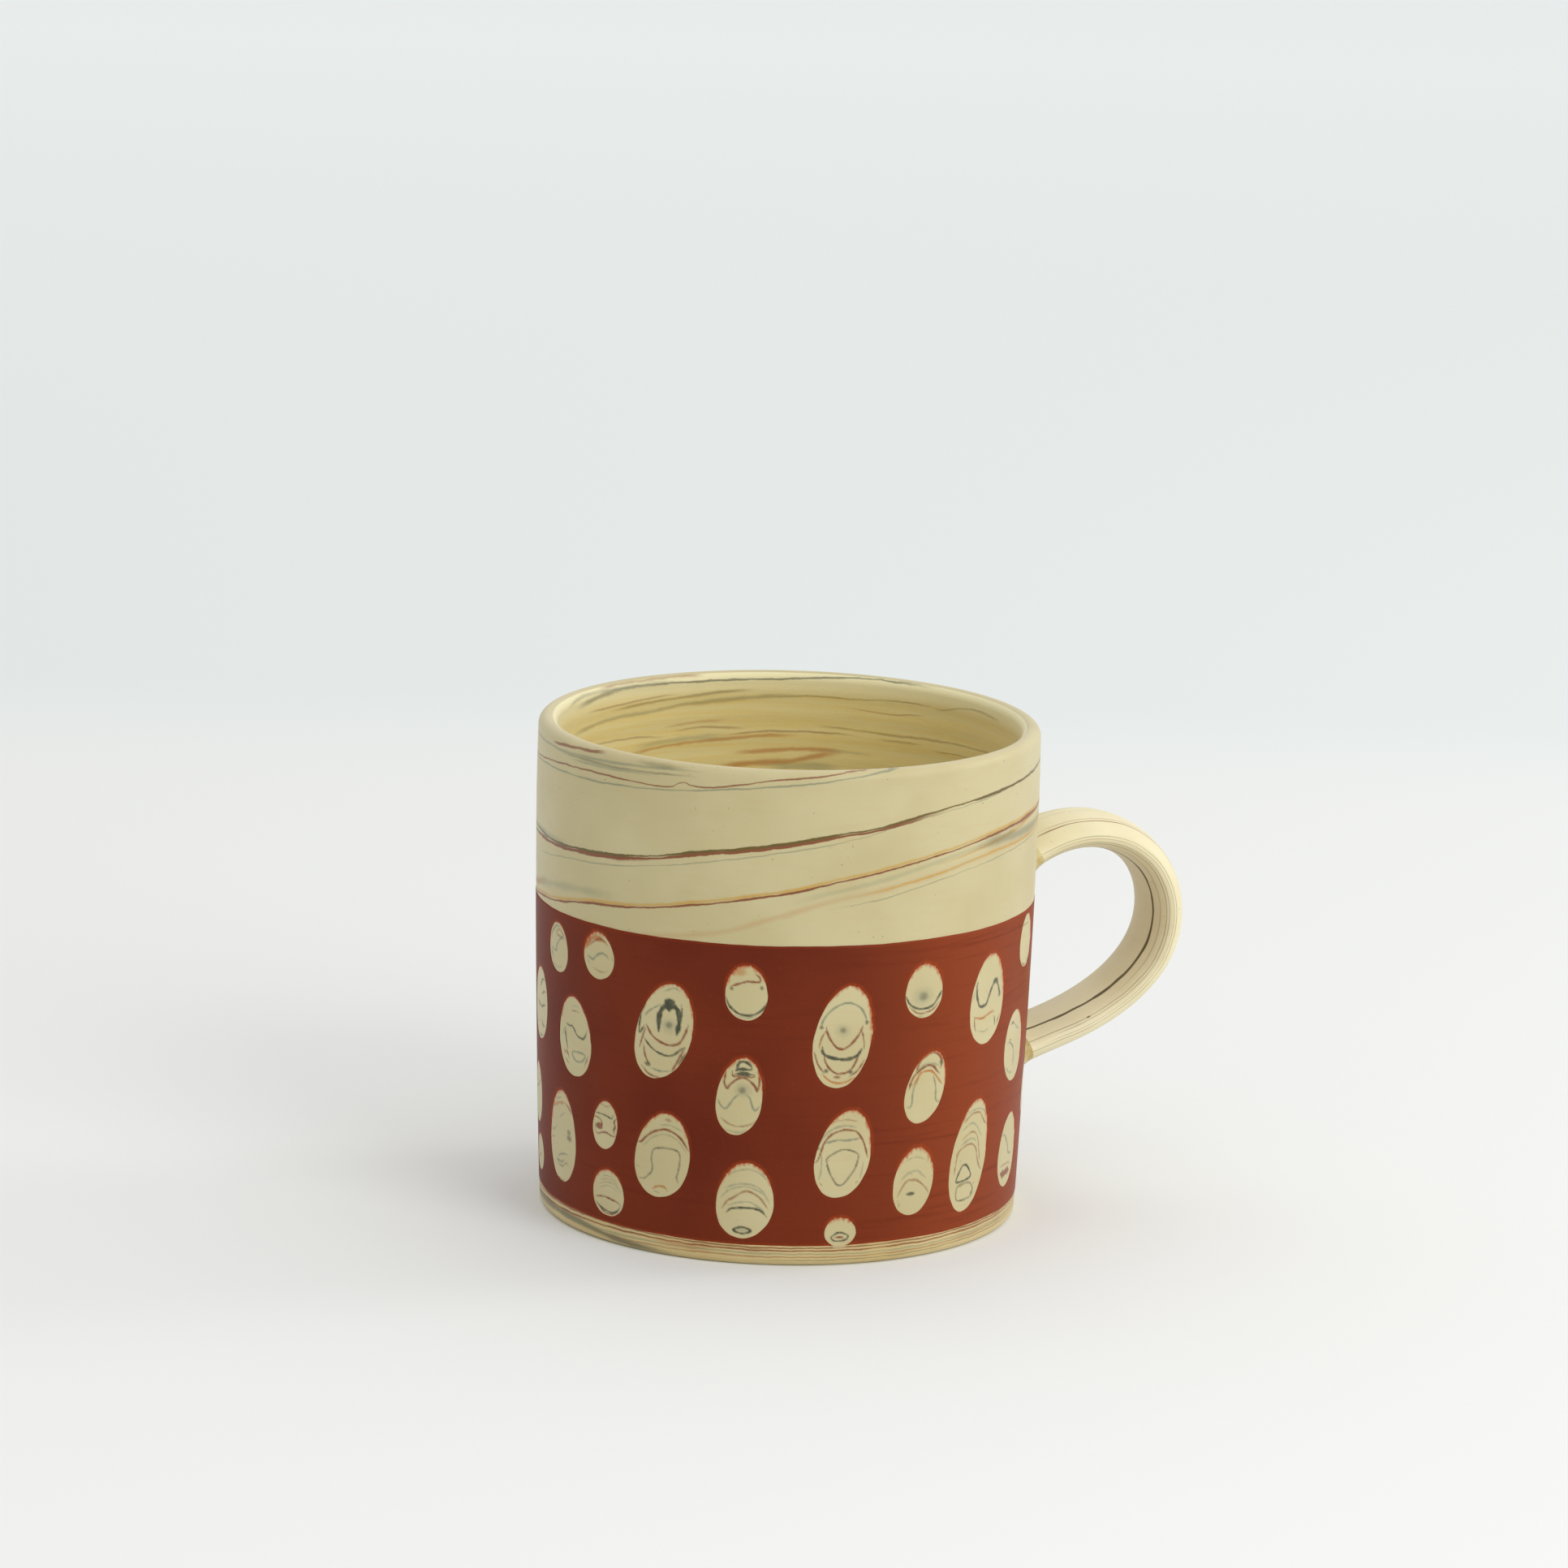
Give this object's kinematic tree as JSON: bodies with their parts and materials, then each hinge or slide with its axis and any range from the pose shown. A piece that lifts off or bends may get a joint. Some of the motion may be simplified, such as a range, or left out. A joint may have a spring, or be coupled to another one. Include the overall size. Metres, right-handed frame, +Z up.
{
  "type": "mug",
  "caption": "Straight-sided stoneware mug in marbled cream clay, with a red slip band pierced by egg-shaped windows and one pulled strap handle.",
  "frame": {"origin": "on the mug's axis, on the flat face that it stands on", "axes": "+Z up along the mug's axis, +X from the axis towards the handle"},
  "size_m": [0.122, 0.0906, 0.09],
  "materials": {
    "cream_clay": "matte-satin unglazed cream clay with thin rust, grey-green and ochre veins running round the wall",
    "red_slip": "satin brick-red slip with faint wheel streaks",
    "handle_clay": "smooth satin cream clay with fine grey-green and rust lines along the strap",
    "luting_clay": "matte yellowish joining clay, wiped smooth round the handle's roots"
  },
  "bodies": {
    "root": {"body": "cream_clay", "red_slip_band": "red_slip", "handle": "handle_clay", "upper_luting": "luting_clay", "lower_luting": "luting_clay"}
  },
  "joints": []
}
